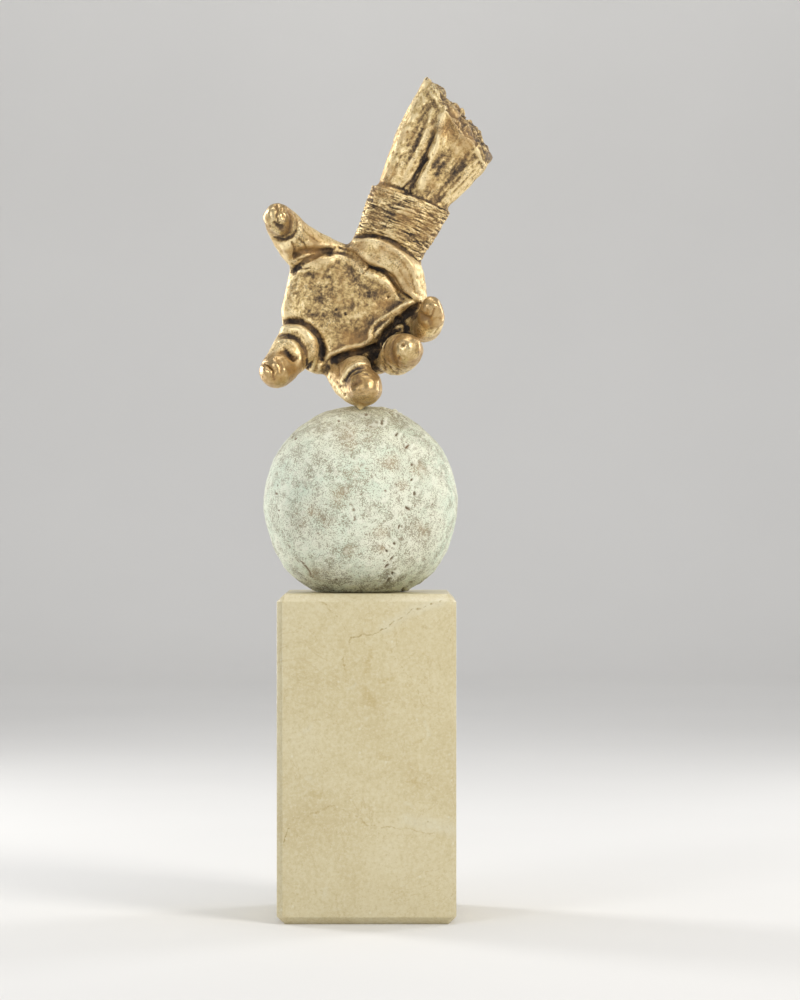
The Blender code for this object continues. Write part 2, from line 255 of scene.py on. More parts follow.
def makeVeinGroup():  # a straight vein between two places, 1 on its middle
    group, given, out = newGroup("veinStroke", ["Place", "From", "To"], {"Half Width": 0.0003}, "Mask")
    vector = functools.partial(addVector, group)
    run = vector("SUBTRACT", given["To"], given["From"])
    away = vector("SUBTRACT", given["Place"], given["From"])
    share = addMath(group, "DIVIDE", vector("DOT_PRODUCT", away, run), vector("DOT_PRODUCT", run, run),
                    clamp=True)
    gap = vector("LENGTH", vector("SUBTRACT", away, vector("SCALE", run, scale=share)))
    level = addMath(group, "SUBTRACT", 1.0, addMath(group, "DIVIDE", gap, given["Half Width"]), clamp=True)
    group.links.new(level, out)
    return group


speckleGroup = makeSpeckleGroup()
grainGroup = makeGrainGroup()
veinGroup = makeVeinGroup()


def newMaterial(name):
    material = bpy.data.materials.new(name)
    material.use_nodes = True
    tree = material.node_tree
    place = addNode(tree, "ShaderNodeTexCoord").outputs["Object"]
    return material, tree, tree.nodes["Principled BSDF"], place


def linkShader(tree, shader, links):
    for socket, value in links.items():
        tree.links.new(value, shader.inputs[socket])


def addBump(tree, height, strength, distance):
    return addNode(tree, "ShaderNodeBump", {"Strength": strength, "Distance": distance,
                                            "Height": height}).outputs["Normal"]


def readMasks(tree, *names):
    return [addNode(tree, "ShaderNodeAttribute", attribute_name=name).outputs["Fac"] for name in names]


# Bronze hand

handSettings = {
    "footLean": math.radians(20),  # the peg leans towards the viewer, square to the ball
    "footGap": 0.0003, "grain": 0.00075, "easing": 5,
    "wrapRim": (22.8, 97.6), "wrapUp": (0.337, 0.942), "wrapAcross": (0.942, -0.337),
    "wrapLength": 21.7, "wrapBow": 0.0145, "wrapHalfWidth": 26,
    "strandRise": 0.22, "strandGap": 0.34, "strandSwell": 0.2, "wrapRimRise": 0.35,
    "armUp": (0.53, 0.85), "armAcross": (0.85, -0.53), "armStretch": 0.16,
    "armStreaks": [(3.4, 0.18, 4), (1.5, 0.16, 6)],  # size, rise and seed, as in the next one
    "clayLumps": [(8.5, 0.40, 11), (4.0, 0.22, 12), (1.9, 0.11, 13), (1.1, 0.05, 14)],
    "tearPoint": (46, 24, 135.2), "tearNormal": (0.75, -0.22, 0.62), "tearBlock": 6.0,
    "tearRise": 0.95, "tearSlope": 1.1, "tearCrack": 0.65,
    "tearCrumb": 0.45, "tearGrit": 0.14, "tearLift": 0.25,
    "castingPits": 150,
    "rubbedTips": [(-37.5, -3, 86), (-38, 0, 16), (2, -5, 11), (21, -6, 27), (32, -1, 45)],
    "rubbedReach": 8.5, "rubbedLumps": 0.26,
    "corner": (60.8, 115.0), "cornerReach": 5.5, "cornerRounds": 260,
    # The broad hollows step is partly patina in the hollows and partly painted shade in the bronze
    "reliefSteps": [("fineRelief", 6, 0.00012), ("folds", 60, 0.0016), ("hollows", 160, 0.0022)],
    # Where the patina lies thick, and where shade is painted on the sides of the fingers, seen from the
    # front: x, z and reach
    "patinaAndShadeClouds": [(-13.2, 53.5, 3), (-8.1, 45.9, 4.6), (12.2, 47.8, 3.6), (4.5, 54.1, 3.4), (-3, 35.2, 6),
                    (4.5, 38.9, 4.6), (-17, 51.6, 3), (-11.9, 64.3, 3), (-20.8, 44, 3), (-10.2, 14.6, 3),
                    (13.2, 29.6, 3.4), (13.6, 22.4, 3), (-31, 26.4, 3.4), (-24.4, 22, 2.6), (-34, 81.6, 3),
                    (-29, 75, 3), (28.4, 41.6, 2.4), (0.4, 23, 3), (33, 112, 5), (24.6, 121, 4), (44, 108, 4),
                    (21.4, 37.2, 3.2), (26.7, 35.8, 2.6), (15.2, 33, 2.4), (12.8, 24, 2.6), (27.4, 25.6, 2.6),
                    (-0.6, 13.3, 3.2), (6.6, 17, 2.6), (-5, 24.6, 2.6), (-31.7, 33.6, 2.4), (-25.6, 27, 2.2),
                    (29.6, 49.6, 2.2), (26.4, 43, 2.2), (31.6, 37.6, 2.6), (-38.6, 14.6, 2.2)],
}

# Lines seen from the front, in the hand's own millimetres: x and z, half width, rise, nearest and
# furthest depth. A rise under 0 cuts a groove. A lip rises on the left of its way and sinks on the right.
frontLines = [
    ("padTop", [(26, 49.5), (18.5, 54.4), (12.4, 61.6), (7, 64.6), (1, 68.2), (-5, 73), (-9.5, 74.4),
     (-15, 72.4), (-22, 68.6), (-31, 63.4)], 0.75, 0.55, 0, 30, "lip"),
    ("heelFill", [(26.6, 51), (19.6, 55.4), (13.4, 62.8), (7.6, 66.2), (1.4, 69.8), (-4, 74)], 1.3, 0.9, 0,
     30),
    ("heelFillEnd", [(27, 50.2), (22.8, 53.4), (17.6, 58.4)], 1.3, 0.5, 0, 30),
    ("padCrack", [(26, 49.2), (18.3, 54.6), (12.2, 61.8), (7, 64.8), (4, 65.8), (-2.8, 71.6), (-9.5, 74.8)],
     0.5, -0.75, 0, 30),
    ("padSpur", [(4.3, 65.8), (2.8, 64.2), (1.4, 62.6)], 0.5, -0.55, 0, 30),
    ("padBottom", [(-17.4, 20.6), (-15.6, 23.6), (-11, 26), (-5, 28.2), (1, 29.4), (4.8, 31.8), (5.3, 35.4),
     (7.4, 39.2), (13.2, 43), (19.3, 46.8), (25.6, 49.4)], 0.7, 0.8, 0, 30, "lip"),
    ("padLipCrest", [(-16.6, 24.4), (-11, 27), (-5, 29.2), (0.6, 30.4), (3.8, 32.6), (4.2, 36), (6.4, 40),
     (12.4, 44), (19, 47.9), (24.6, 50.2)], 0.7, 0.35, 0, 30),
    ("heelRim", [(-1, 78.2), (8, 77), (18, 71.4), (24.4, 64), (26.4, 54.5)], 0.8, 0.5, 0, 30),
    ("heelLine", [(9, 74.4), (17.6, 68.8), (22.6, 61.6), (24.8, 53)], 0.45, -0.35, 0, 30),
    ("heelLineLow", [(13, 69), (19, 62), (22.6, 54.4)], 0.5, -0.25, 0, 30),
    ("wrapEnd", [(-3.5, 80), (9, 79.5), (18, 75), (28, 67.5)], 0.6, -0.7, 0, 30),
    ("recessFloor", [(7.4, 29), (9.6, 33), (12.4, 37), (18, 41.4), (24.4, 46)], 1.1, -0.9, 5, 34),
    ("recessUnderLip", [(-12, 24), (-6, 26), (1, 27.2), (6, 30)], 0.8, -0.8, 3, 34),
    ("recessPit", [(7.6, 26), (9.2, 22.4), (10.6, 18.6)], 1.2, -1.3, 3, 34),
    ("recessTop", [(16.6, 42), (19.4, 40.4), (21, 38)], 1.2, -1.4, 5, 34),
    ("indexGroove", [(-37, 40.6), (-29.1, 41.2), (-24.4, 39.5), (-20.6, 36), (-18, 31.4), (-17.4, 26),
     (-17.6, 21)], 0.95, -0.45, 0, 30),
    ("indexCuff", [(-21.4, 19), (-19.4, 25), (-19.6, 30), (-22.4, 35), (-26.4, 38.4), (-31, 39.4),
     (-37, 38.8)], 0.6, 0.45, 0, 30, "lip"),
    ("indexBand", [(-37, 37), (-29.8, 37.2), (-25.4, 34.6), (-22.4, 30.2), (-21.3, 25), (-21.6, 20)], 1.3,
     0.55, 0, 30),
    ("indexFold", [(-40, 34.4), (-34, 34.6), (-29, 32.6), (-25.6, 28.6), (-24.1, 23.5), (-24.6, 19)], 0.65,
     -0.8, 0, 30),
    ("indexNailRim", [(-37.4, 32), (-31.6, 31), (-27.6, 27.4), (-26.6, 22.6), (-28.4, 19.6)], 1.0, 0.55, -20,
     30),
    ("indexPit", [(-35.6, 26.4), (-33.4, 26), (-31.4, 24), (-29, 23.6)], 0.9, -1.3, -20, 30),
    ("indexPitCore", [(-32.2, 24.6), (-30.4, 22.6)], 0.7, -1.2, -20, 30),
    ("indexPitTail", [(-34.6, 28.6), (-33.6, 26.8)], 0.45, -0.6, -20, 30),
    ("indexTip", [(-44.6, 20.6), (-42.2, 20), (-40.4, 18.4)], 0.4, -1.0, -20, 30),
    ("indexTipDown", [(-40.6, 18.8), (-39.4, 17.4), (-39.2, 14.6)], 0.5, -0.9, -20, 30),
    ("indexTipRim", [(-43.4, 18.4), (-41.4, 17)], 0.8, 0.35, -20, 30),
    ("indexTipSide", [(-37.6, 22.6), (-35.6, 20), (-36, 16.6)], 0.6, -0.5, -20, 30),
    ("indexTipLump", [(-38.4, 21.6), (-37.4, 19.6)], 0.9, 0.4, -20, 30),
    ("thumbRing", [(-30.4, 91.4), (-28.4, 85.6), (-29.6, 80), (-33.6, 77.2), (-38, 77.6), (-43, 79.6)], 0.9,
     -1.15, -20, 30),
    ("thumbRingRim", [(-31.8, 88.6), (-30.4, 84.8), (-31.8, 81.4), (-35.2, 79.8), (-38.8, 80.8)], 0.8, 0.35,
     -20, 30),
    ("thumbCrease", [(-38.2, 92), (-37.2, 89.4), (-37.6, 86.8), (-36.6, 84)], 0.55, -0.95, -20, 30),
    ("thumbCreaseSide", [(-35.2, 91.6), (-35.8, 89), (-34.6, 86.4)], 0.45, -0.5, -20, 30),
    ("thumbEndLumpA", [(-40.6, 90), (-40.2, 87)], 1.2, 0.4, -20, 30),
    ("thumbEndLumpB", [(-33.6, 87.4), (-34.4, 84.6)], 1.0, 0.4, -20, 30),
    ("thumbPit", [(-38.8, 84.2), (-37, 82.8), (-35.6, 82.4)], 0.8, -1.0, -20, 30),
    ("thumbUnderLump", [(-39.6, 81.6), (-36.8, 80.2)], 0.9, 0.6, -20, 30),
    ("thumbLumpA", [(-33.8, 73.4), (-32.6, 71)], 1.9, 0.9, -20, 30),
    ("thumbLumpB", [(-27.2, 81.8), (-25.6, 79)], 1.5, 0.6, -20, 30),
    ("thumbEdge", [(-27.6, 83.6), (-23.6, 79.8), (-18.4, 77)], 0.6, -0.5, -20, 30),
    ("thumbLumpC", [(-23.6, 76.4), (-21, 75.6)], 1.1, 0.5, -20, 30),
    ("thumbNick", [(-27.6, 77.6), (-25.4, 75.4), (-24.6, 73.4)], 0.5, -0.6, -20, 30),
    ("thumbFoldA", [(-31.4, 76), (-30, 73.4), (-30.4, 69.4)], 0.6, -0.8, -20, 30),
    ("thumbHollow", [(-29.4, 70.6), (-25, 72.2), (-20, 72.4), (-14, 73.2)], 1.1, -1.2, 0, 30),
    ("thumbHollowLow", [(-28.6, 68), (-24, 69.6), (-19.4, 71)], 0.7, -0.8, 0, 30),
    ("thumbHollowRim", [(-27, 75), (-21.6, 75.2), (-14.6, 75.6)], 0.9, 0.5, 0, 30),
    ("thumbSpur", [(-27, 66.6), (-23, 67.4), (-19, 69.4)], 0.6, 0.4, 0, 30),
    ("thumbFoldB", [(-31.6, 66.8), (-27, 64.8), (-23, 65)], 0.5, -0.5, 0, 30),
    ("middleCrest", [(-8, 14), (-6, 17.4), (-2.5, 19.9), (1.3, 20.8), (5, 19.6), (8, 16.6)], 0.55, 0.75, -20,
     16),
    ("middleCrestLow", [(-6.6, 13.4), (-4.4, 16.6), (-1.6, 18.4), (1.6, 19)], 0.5, -0.55, -20, 14),
    ("middleCrestHigh", [(-8.4, 17.6), (-5.4, 20.6), (-1, 22.2), (3.6, 21.8)], 0.6, -0.4, -20, 16),
    ("middleBackFold", [(-11.4, 22.4), (-9.6, 19.4), (-9.4, 16)], 0.6, -0.7, -20, 26),
    ("middleDimple", [(-3, 11.4), (-0.6, 12.4)], 1.5, -0.8, -20, 14),
    ("middleDimpleCore", [(-3.4, 11), (-2, 11.4)], 0.6, -0.6, -20, 14),
    ("middleSide", [(-10.6, 12.4), (-9.6, 9.6), (-7.4, 6.6)], 0.7, -0.5, -20, 14),
    ("ringCuff", [(17.6, 37.4), (12.6, 34), (10.4, 28.6), (11, 22.6), (14, 18.4), (17, 16.6)], 0.9, -0.8, 0,
     30),
    ("ringBand", [(17, 35.4), (13.4, 32.2), (12, 27.7), (12.6, 23), (15, 19)], 0.7, 0.55, -20, 26),
    ("ringFold", [(18.6, 34.6), (15.4, 31.6), (14, 27.6), (14.4, 23.2), (16.8, 19.4)], 0.5, -0.75, -20, 20),
    ("ringNotch", [(17.4, 23.4), (16.4, 20.4), (18.2, 18.6)], 0.6, -0.5, -20, 16),
    ("littleFold", [(27.4, 43.4), (30.4, 41.4), (32.4, 42.6), (33.4, 45.4)], 0.55, -0.7, -20, 14),
    ("littleNail", [(29.6, 46.4), (32.4, 47.6), (34.8, 46)], 0.8, 0.35, -20, 14),
    ("littleKnuckle", [(33.4, 34.4), (36.6, 38.4)], 0.6, -0.4, -20, 24),
    ("wrapTop", [(8.6, 104.6), (18.5, 101.2), (25, 97.9), (32.8, 94.6), (38, 92)], 0.7, -0.6, 0, 30),
    ("armCrease", [(19.4, 101.4), (23.7, 106), (27, 110.8), (30, 114.6)], 0.7, -0.6, 0, 30),
    ("armCreaseEnd", [(31, 116.6), (34.4, 123.4), (36.6, 131), (38, 138)], 1.5, 0.5, 0, 30),
    ("armCreaseLip", [(36.4, 128), (34, 120.4), (30.4, 113.6), (26, 106.6), (23, 101.4)], 0.9, -0.4, 0, 30,
     "lip"),
    ("armRidge", [(25.8, 103.6), (30.2, 110.2), (34, 118.6), (36.2, 126.6), (37.4, 132), (39, 138)], 0.9, 0.5,
     0, 30),
    ("armLeftRidge", [(14.6, 105.4), (19.8, 113), (23.7, 121.5), (27.6, 129.8), (31, 136.4)], 1.2, 0.2, 0,
     30),
    ("armLeftFill", [(12.8, 109), (16.8, 118), (20.4, 127.4), (24, 134)], 1.9, 0.5, 0, 30),
    ("armFluteFill", [(19.6, 107), (24, 115), (28.6, 125), (33, 137)], 1.4, 0.55, 0, 30),
    ("armSideFlute", [(35.4, 96), (41.4, 103.4), (46.5, 111.6), (48.8, 118)], 0.9, -0.15, 0, 30),
    ("armSideRidge", [(36.8, 98.6), (43.4, 106), (49.6, 111.6), (54.6, 114.6)], 0.8, 0.4, 0, 30),
    ("armSideStreak", [(41.3, 98.6), (47, 104.6), (52, 110)], 0.6, -0.35, 0, 30),
    ("cornerRoll", [(55.4, 117.2), (57.4, 115.6), (58.8, 113.4), (59, 110.8)], 1.4, 0.9, 0, 30),
    ("cornerCrease", [(51.6, 116.4), (54.2, 113.8), (55.8, 111)], 0.7, -0.45, 0, 30),
    ("tornLip", [(32.6, 148.4), (35.4, 144), (38, 139.4), (40, 134.4), (43.3, 129.8), (46.6, 125.2),
     (51, 121.2), (53.6, 117), (56.4, 112.6)], 0.7, 0.8, 0, 30),
]
backLines = [
    ("indexCreaseA", [(-27, 34.6), (-24, 33.4), (-20.8, 34)], 0.6, -0.6, 15, 50),
    ("indexCreaseB", [(-27.6, 32), (-24.6, 30.8), (-21.2, 31.4)], 0.6, -0.45, 15, 50),
    ("middleCreaseA", [(-9.6, 29.8), (-6, 28.6), (-2.4, 29.4)], 0.6, -0.6, 15, 50),
    ("middleCreaseB", [(-9.4, 27), (-5.8, 26), (-2.6, 26.8)], 0.6, -0.45, 15, 50),
    ("ringCreaseA", [(6.6, 33.4), (10, 32.4), (13.4, 33.6)], 0.6, -0.6, 15, 50),
    ("littleCreaseA", [(19.4, 43.4), (22, 42.6), (25, 43.8)], 0.6, -0.5, 15, 50),
    ("wrapEnd", [(-6, 78), (9, 77), (28, 67)], 0.6, -0.6, 15, 50),
    ("vein", [(-14, 50), (-8, 58), (-6, 66), (1, 74)], 0.8, -0.3, 15, 50),
    ("armRidge", [(30, 100), (40, 114), (48, 128)], 1.2, 0.4, 15, 50),
    ("armFlute", [(26, 102), (35, 118), (42, 134)], 1.0, -0.4, 15, 50),
]
# Each pit: x, z, half width and depth, then the depths it works between
frontPits = [
    (12.4, 51.9, 0.6, 1.5, 0, 30), (-7, 43.9, 0.55, 1.2, 0, 30), (-11.1, 46.2, 0.5, 1.0, 0, 30),
    (-15.7, 56.6, 0.7, 0.6, 0, 30), (26, 60.5, 0.5, 1.1, 0, 30), (19.3, 28.8, 0.6, 1.3, -20, 12),
    (25.6, 28.4, 0.45, 0.8, -20, 12), (-38.9, 13.6, 0.5, 0.7, -20, 10), (-9, 10.8, 0.6, 0.8, -20, 14),
    (-7, 6.8, 0.6, 0.7, -20, 14), (-23.4, 75.4, 0.4, 0.6, 0, 30), (13, 74.2, 0.5, 0.7, 0, 30),
    (-22.4, 30.6, 0.4, 0.5, 0, 30), (21.3, 127.4, 0.6, 0.7, 0, 30), (21, 123.6, 0.5, 0.6, 0, 30),
]


def ballPlaces():  # the ball's middle, its radius and how far its foot is below the middle
    low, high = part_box("ball")
    radius = (high.x - low.x) / 2
    centre = Vector(((low.x + high.x) / 2, (low.y + high.y) / 2, high.z - radius))
    return centre, radius, centre.z - low.z


def handFoot():  # where the hand's own millimetres start
    centre, radius, _ = ballPlaces()
    lean = handSettings["footLean"]
    return centre + Vector((0, -math.sin(lean), math.cos(lean))) * (radius + handSettings["footGap"])


def clayCopy(node, grain, easing):  # a merged copy of a CAD node as one fine, even skin
    shape = bmesh.new()
    shape.from_mesh(frame["nodes"][node].data)
    bmesh.ops.remove_doubles(shape, verts=shape.verts, dist=0.000002)
    rough = bpy.data.meshes.new(node + "Rough")
    shape.to_mesh(rough)
    shape.free()
    lump = bpy.data.objects.new(node + "Rough", rough)
    bpy.context.scene.collection.objects.link(lump)
    remesh = lump.modifiers.new("fineSkin", "REMESH")
    remesh.mode = "VOXEL"
    remesh.voxel_size = grain
    ease = lump.modifiers.new("easeFacets", "SMOOTH")
    ease.factor = 0.5
    ease.iterations = easing
    mesh = bpy.data.meshes.new_from_object(lump.evaluated_get(bpy.context.evaluated_depsgraph_get()))
    bpy.data.objects.remove(lump)
    return mesh


def signedDistance(places, curve):  # to the nearest step of a flat curve, above 0 on the left of its way
    step = np.diff(curve, axis=0)
    best = np.full(len(places), 1e9)
    signed = np.zeros(len(places))
    for start, along in zip(curve[:-1], step):
        away = places - start
        share = np.clip(away @ along / (along @ along), 0, 1)
        gap = np.sqrt(((away - share[:, None] * along) ** 2).sum(1))
        closer = gap < best
        best[closer] = gap[closer]
        side = np.sign(along[0] * away[:, 1] - along[1] * away[:, 0])
        signed[closer] = (gap * side)[closer]
    return signed


def workLine(places, normals, line, side):  # how far one line lifts every place
    name, points, width, rise, near, far, *kind = line
    signed = signedDistance(places[:, [0, 2]], curveThrough(points))
    facing = np.clip(normals[:, 1] * side * 2, 0, 1) * (places[:, 1] > near) * (places[:, 1] < far)
    if "lip" in kind:
        shape = np.tanh(signed / width) * bell(signed / (3 * width))
    else:
        shape = bell(signed / width)
    close = np.abs(signed) < 4 * width
    wander = np.ones(len(places))
    wander[close] += 0.4 * noiseAt(places[close], 2.6, len(name))  # so that no line is even
    return rise * facing * shape * wander


def workLines(mesh, places, lines, side):
    normals = readVectors(mesh, "normal")
    for line in lines:
        places = places + normals * workLine(places, normals, line, side)[:, None]
    writePoints(mesh, places * mm)
    return places


def sinkPits(places, normals, pits):
    lift = np.zeros(len(places))
    for x, z, width, depth, near, far in pits:
        seen = (normals[:, 1] < -0.2) * (places[:, 1] > near) * (places[:, 1] < far)
        lift = np.minimum(lift, -depth * seen * bell(frontGap(places, x, z) / width, 4))
    return lift


def scatterPits(places, count, seed):  # small casting pits, anywhere
    draw = random.Random(seed)
    lift = np.zeros(len(places))
    for _ in range(count):
        centre = places[draw.randrange(len(places))]
        width = draw.uniform(0.35, 0.6)
        gap = np.sqrt(((places - centre) ** 2).sum(1))
        lift = np.minimum(lift, -draw.uniform(0.2, 0.55) * bell(gap / width))
    return lift


def wrapBand(places):  # how far along and across the wrist a place is, and how surely it is on the wrap
    flat = places[:, [0, 2]] - np.array(handSettings["wrapRim"])
    up = flat @ np.array(handSettings["wrapUp"])
    across = flat @ np.array(handSettings["wrapAcross"])
    lowEdge = -handSettings["wrapLength"] - handSettings["wrapBow"] * (across + 5) ** 2
    on = smoothStep(up, lowEdge - 0.2, lowEdge + 0.7) * smoothStep(-up, -0.1, 0.5)
    return up, across, on * (np.abs(across) < handSettings["wrapHalfWidth"])


def windWrap(places):  # short uneven strands side by side round the wrist
    up, across, on = wrapBand(places)
    turn = np.stack([across, places[:, 1], up], 1)
    close = on > 0
    lift = np.zeros(len(places))
    near = turn[close]
    near[:, 2] += 0.8 * noiseAt(near, 9, 1) + 0.25 * noiseAt(near, 3, 4)
    strands = 1 - 2.4 * np.abs(noiseAt(near * np.array([0.17, 0.17, 1.0]), 1.05, 2))
    gaps = smoothStep(noiseAt(near * np.array([0.28, 0.28, 1.0]), 1.0, 5), 0.15, 0.5)
    swell = noiseAt(near, 5, 7)
    lift[close] = (handSettings["strandRise"] * strands - handSettings["strandGap"] * gaps
                   + handSettings["strandSwell"] * swell)
    rim = handSettings["wrapRimRise"] * bell((up + 0.9) / 0.7)
    return on * (lift + rim), on


def noiseLift(places, steps):  # several sizes of noise on each other
    return sum(rise * noiseAt(places, size, seed) for size, rise, seed in steps)


def streakArm(places):  # long shallow streaks down the forearm
    on = smoothStep(wrapBand(places)[0], 0.4, 1.8)
    close = on > 0
    along = places[:, [0, 2]] @ np.array(handSettings["armUp"])
    aside = places[:, [0, 2]] @ np.array(handSettings["armAcross"])
    drawn = np.stack([aside, places[:, 1], along * handSettings["armStretch"]], 1)[close]
    lift = np.zeros(len(places))
    lift[close] = noiseLift(drawn, handSettings["armStreaks"])
    return on * lift


def tearEnd(places, normals):  # stepped, crumbly break at the end of the forearm
    normal = np.array(Vector(handSettings["tearNormal"]).normalized())
    beyond = (places - np.array(handSettings["tearPoint"])) @ normal
    end = smoothStep(beyond, -3.6, -0.9) * smoothStep(normals @ normal, 0.1, 0.55)
    lift = np.zeros(len(places))
    for spot in np.flatnonzero(end > 0):
        place = Vector(places[spot])
        wander = noise.noise_vector(place / 5.0) * 0.18  # so that the blocks' sides aren't straight
        spaced = place / handSettings["tearBlock"] + wander
        gaps, cells = noise.voronoi(spaced)
        lean = noise.cell_vector(cells[0] * 5.1) * 2 - Vector((1, 1, 1))
        crack = max(0, 1 - (gaps[1] - gaps[0]) / 0.2) * max(0, 0.5 + 1.5 * noise.noise(place / 5))
        lift[spot] = (handSettings["tearRise"] * noise.cell(cells[0] * 7.3)
                      + handSettings["tearSlope"] * (spaced - cells[0]).dot(lean)
                      - handSettings["tearCrack"] * crack
                      + handSettings["tearCrumb"] * noise.noise(place / 3.4)
                      + handSettings["tearGrit"] * noise.noise(place / 1.6) + handSettings["tearLift"])
    return end * lift, normal, end


def clayLumps(places, plain):  # the soft unevenness of modelled clay
    return plain * smoothStep(places[:, 2], 2.0, 5.5) * noiseLift(places, handSettings["clayLumps"])


def finerSkin(mesh, wanted):  # halves the skin's steps where the finest carving goes
    shape = bmesh.new()
    shape.from_mesh(mesh)
    shape.verts.ensure_lookup_table()
    edges = [edge for edge in shape.edges if wanted[edge.verts[0].index] and wanted[edge.verts[1].index]]
    bmesh.ops.subdivide_edges(shape, edges=edges, cuts=1, use_grid_fill=True)
    bmesh.ops.triangulate(shape, faces=[face for face in shape.faces if len(face.verts) > 4])
    shape.to_mesh(mesh)
    shape.free()


def roundCorner(mesh, places):  # the low corner of the torn end
    corner = bell(frontGap(places, *handSettings["corner"]) / handSettings["cornerReach"], 4)
    rounded = easedPoints(places, readPairs(mesh), handSettings["cornerRounds"])
    return places + corner[:, None] * (rounded - places)


def patinaAndPaintedShade(places, normals):  # over 0 where the patina lies thick on the front, and where shade is painted on the sides of the fingers
    shade = np.zeros(len(places))
    for x, z, size in handSettings["patinaAndShadeClouds"]:
        cloud = bell(frontGap(places, x, z) / size)
        shade = np.maximum(shade, cloud * np.clip(-2 * normals[:, 1], 0, 1))
    return shade


def makeHandMesh():
    foot = handFoot()
    mesh = clayCopy("hand", handSettings["grain"], handSettings["easing"])
    mesh.transform(Matrix.Translation(-foot))
    places = readVectors(mesh, "co") / mm
    onTear = tearEnd(places, readVectors(mesh, "normal"))[2]
    finerSkin(mesh, (wrapBand(places)[2] > 0) | (onTear > 0))
    places = readVectors(mesh, "co") / mm
    places = workLines(mesh, places, frontLines, -1)
    places = workLines(mesh, places, backLines, 1)
    normals = readVectors(mesh, "normal")
    wound, onWrap = windWrap(places)
    torn, tearWay, onTear = tearEnd(places, normals)
    lift = clayLumps(places, 1 - onWrap) + wound + streakArm(places) + sinkPits(places, normals, frontPits)
    lift += scatterPits(places, handSettings["castingPits"], 5) * (1 - onWrap)
    reach = np.min([np.linalg.norm(places - np.array(tip), axis=1) for tip in handSettings["rubbedTips"]], 0)
    rubbed = 1 - smoothStep(reach, handSettings["rubbedReach"] - 1, handSettings["rubbedReach"] + 3)
    lift += handSettings["rubbedLumps"] * rubbed * noiseAt(places, 3.0, 15)
    places = roundCorner(mesh, places + normals * lift[:, None] + tearWay * torn[:, None])
    writePoints(mesh, places * mm)
    storeRelief(mesh, handSettings["reliefSteps"])
    for name, values in (("torn", onTear), ("wrap", onWrap), ("rubbed", rubbed),
                         ("shade", patinaAndPaintedShade(places, normals))):
        storeMask(mesh, name, values)
    mesh.transform(Matrix.Translation(foot))
    return mesh


bronzeSettings = {
    # Uneven noises: scale, detail, roughness, warp and share in the level, which is low where it is dark
    "noises": {"cloud": (60.0, 4.0, 0.6, 0.0, 0.30), "mottle": (230.0, 4.0, 0.65, 0.0, 0.42),
               "fine": (900.0, 3.0, 0.65, 0.0, 0.62), "crust": (520.0, 4.0, 0.7, 0.5, 0.42)},
    "reliefShare": 0.42, "foldShare": 0.42, "hollowShare": 0.24, "levelShift": -0.035,
    "strandTurn": math.radians(-19.7), "strandScale": (130, 130, 900),
    "strandMiddle": 0.55, "strandShare": 1.4,
    "rubbedCalm": 0.28, "rubbedDark": 0.15, "tornDark": 0.16, "cloudDark": 0.17, "rubbedCloudDark": 0.14,
    "contrast": 1.16, "contrastMiddle": 0.47, "contrastShift": 0.475,
    "ramp": [(0.08, (0.018, 0.012, 0.009)), (0.22, (0.066, 0.043, 0.025)), (0.35, (0.20, 0.130, 0.060)),
             (0.46, (0.42, 0.29, 0.125)), (0.57, (0.64, 0.475, 0.215)), (0.74, (0.90, 0.73, 0.42))],
    "amber": (0.41, 0.235, 0.08), "amberShare": 0.64, "rubbedAmber": 0.17,
    "speck": (0.12, 0.080, 0.043), "speckShare": 0.55, "tornTint": (0.18, 0.140, 0.100), "tornShare": 0.26,
    "bump": 0.6, "bumpDistance": 0.0005, "strandBump": 1.2,
}


